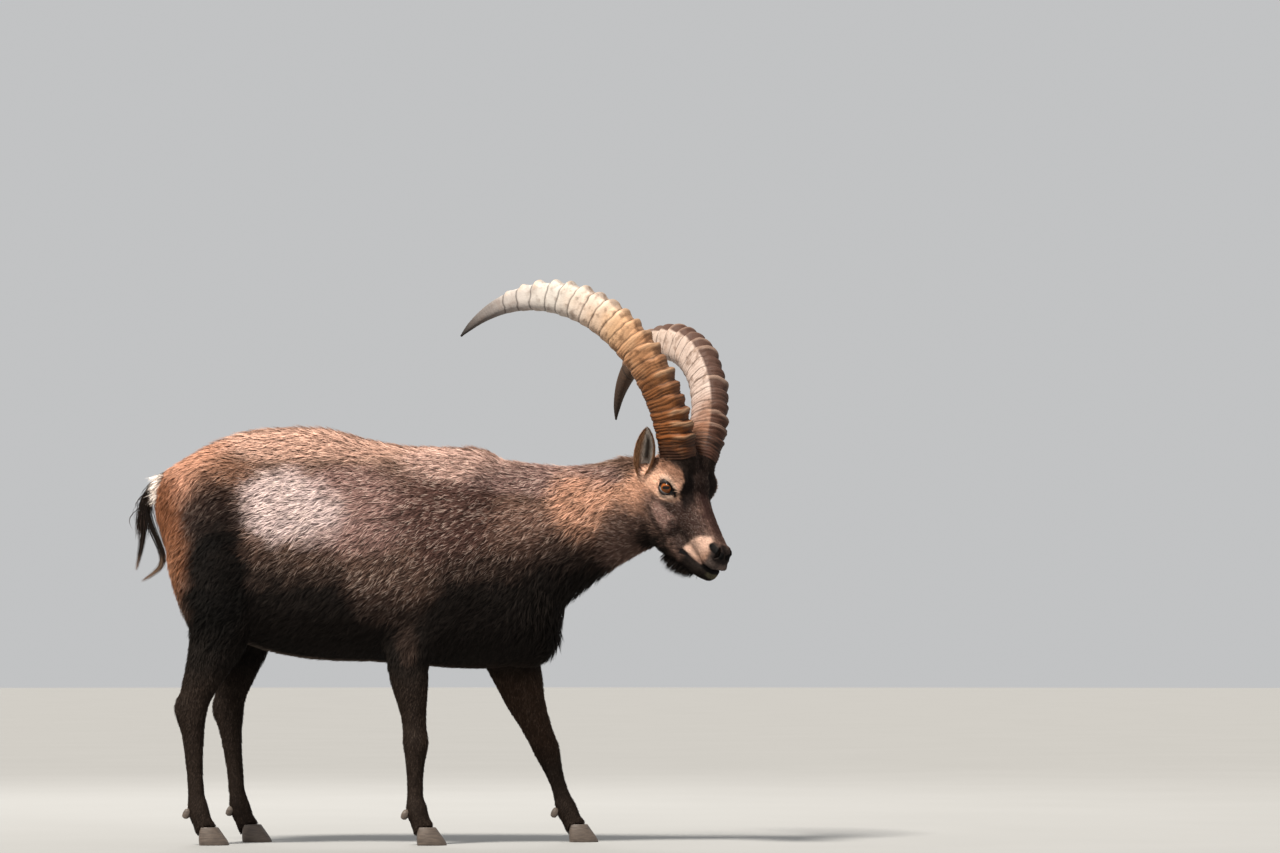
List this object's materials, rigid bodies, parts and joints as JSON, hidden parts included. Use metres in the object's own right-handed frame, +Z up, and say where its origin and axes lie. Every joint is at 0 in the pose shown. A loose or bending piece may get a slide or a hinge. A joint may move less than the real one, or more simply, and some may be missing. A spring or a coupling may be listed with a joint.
{
  "type": "alpine ibex model",
  "caption": "Life-size still model of a male alpine ibex standing on four legs, head turned to its right, with long backswept ridged horns.",
  "frame": {"origin": "on the floor, below the middle of the whole model's box", "axes": "+X the way the body faces, +Y to the animal's left, +Z up"},
  "size_m": [1.3362, 0.6324, 1.2641],
  "materials": {
    "coat": "short dense summer coat, grizzled brown over the back and shoulders, paler on the flank",
    "dark_coat": "short dark brown hair on the legs, beard and tail",
    "horn": "dry ridged horn, dark brown at the foot, ochre to pale cream further out, grey at the tip",
    "hoof": "worn dark hoof horn",
    "eye": "wet amber eye with a dark level pupil"
  },
  "bodies": {
    "root": {"beard": "dark_coat", "dewclaw_fore_left_inner": "hoof", "dewclaw_fore_left_outer": "hoof", "dewclaw_fore_right_inner": "hoof", "dewclaw_fore_right_outer": "hoof", "dewclaw_hind_left_inner": "hoof", "dewclaw_hind_left_outer": "hoof", "dewclaw_hind_right_inner": "hoof", "dewclaw_hind_right_outer": "hoof", "ear_left": "coat", "ear_right": "coat", "eye_left": "eye", "eye_right": "eye", "foreleg_left_lower": "dark_coat", "foreleg_left_upper": "dark_coat", "foreleg_right_lower": "dark_coat", "foreleg_right_upper": "dark_coat", "head": "coat", "hindleg_left_lower": "dark_coat", "hindleg_left_upper": "dark_coat", "hindleg_right_lower": "dark_coat", "hindleg_right_upper": "dark_coat", "hoof_fore_left_inner": "hoof", "hoof_fore_left_outer": "hoof", "hoof_fore_right_inner": "hoof", "hoof_fore_right_outer": "hoof", "hoof_hind_left_inner": "hoof", "hoof_hind_left_outer": "hoof", "hoof_hind_right_inner": "hoof", "hoof_hind_right_outer": "hoof", "horn_left": "horn", "horn_right": "horn", "neck": "coat", "tail": "dark_coat", "torso": "coat"}
  },
  "joints": []
}
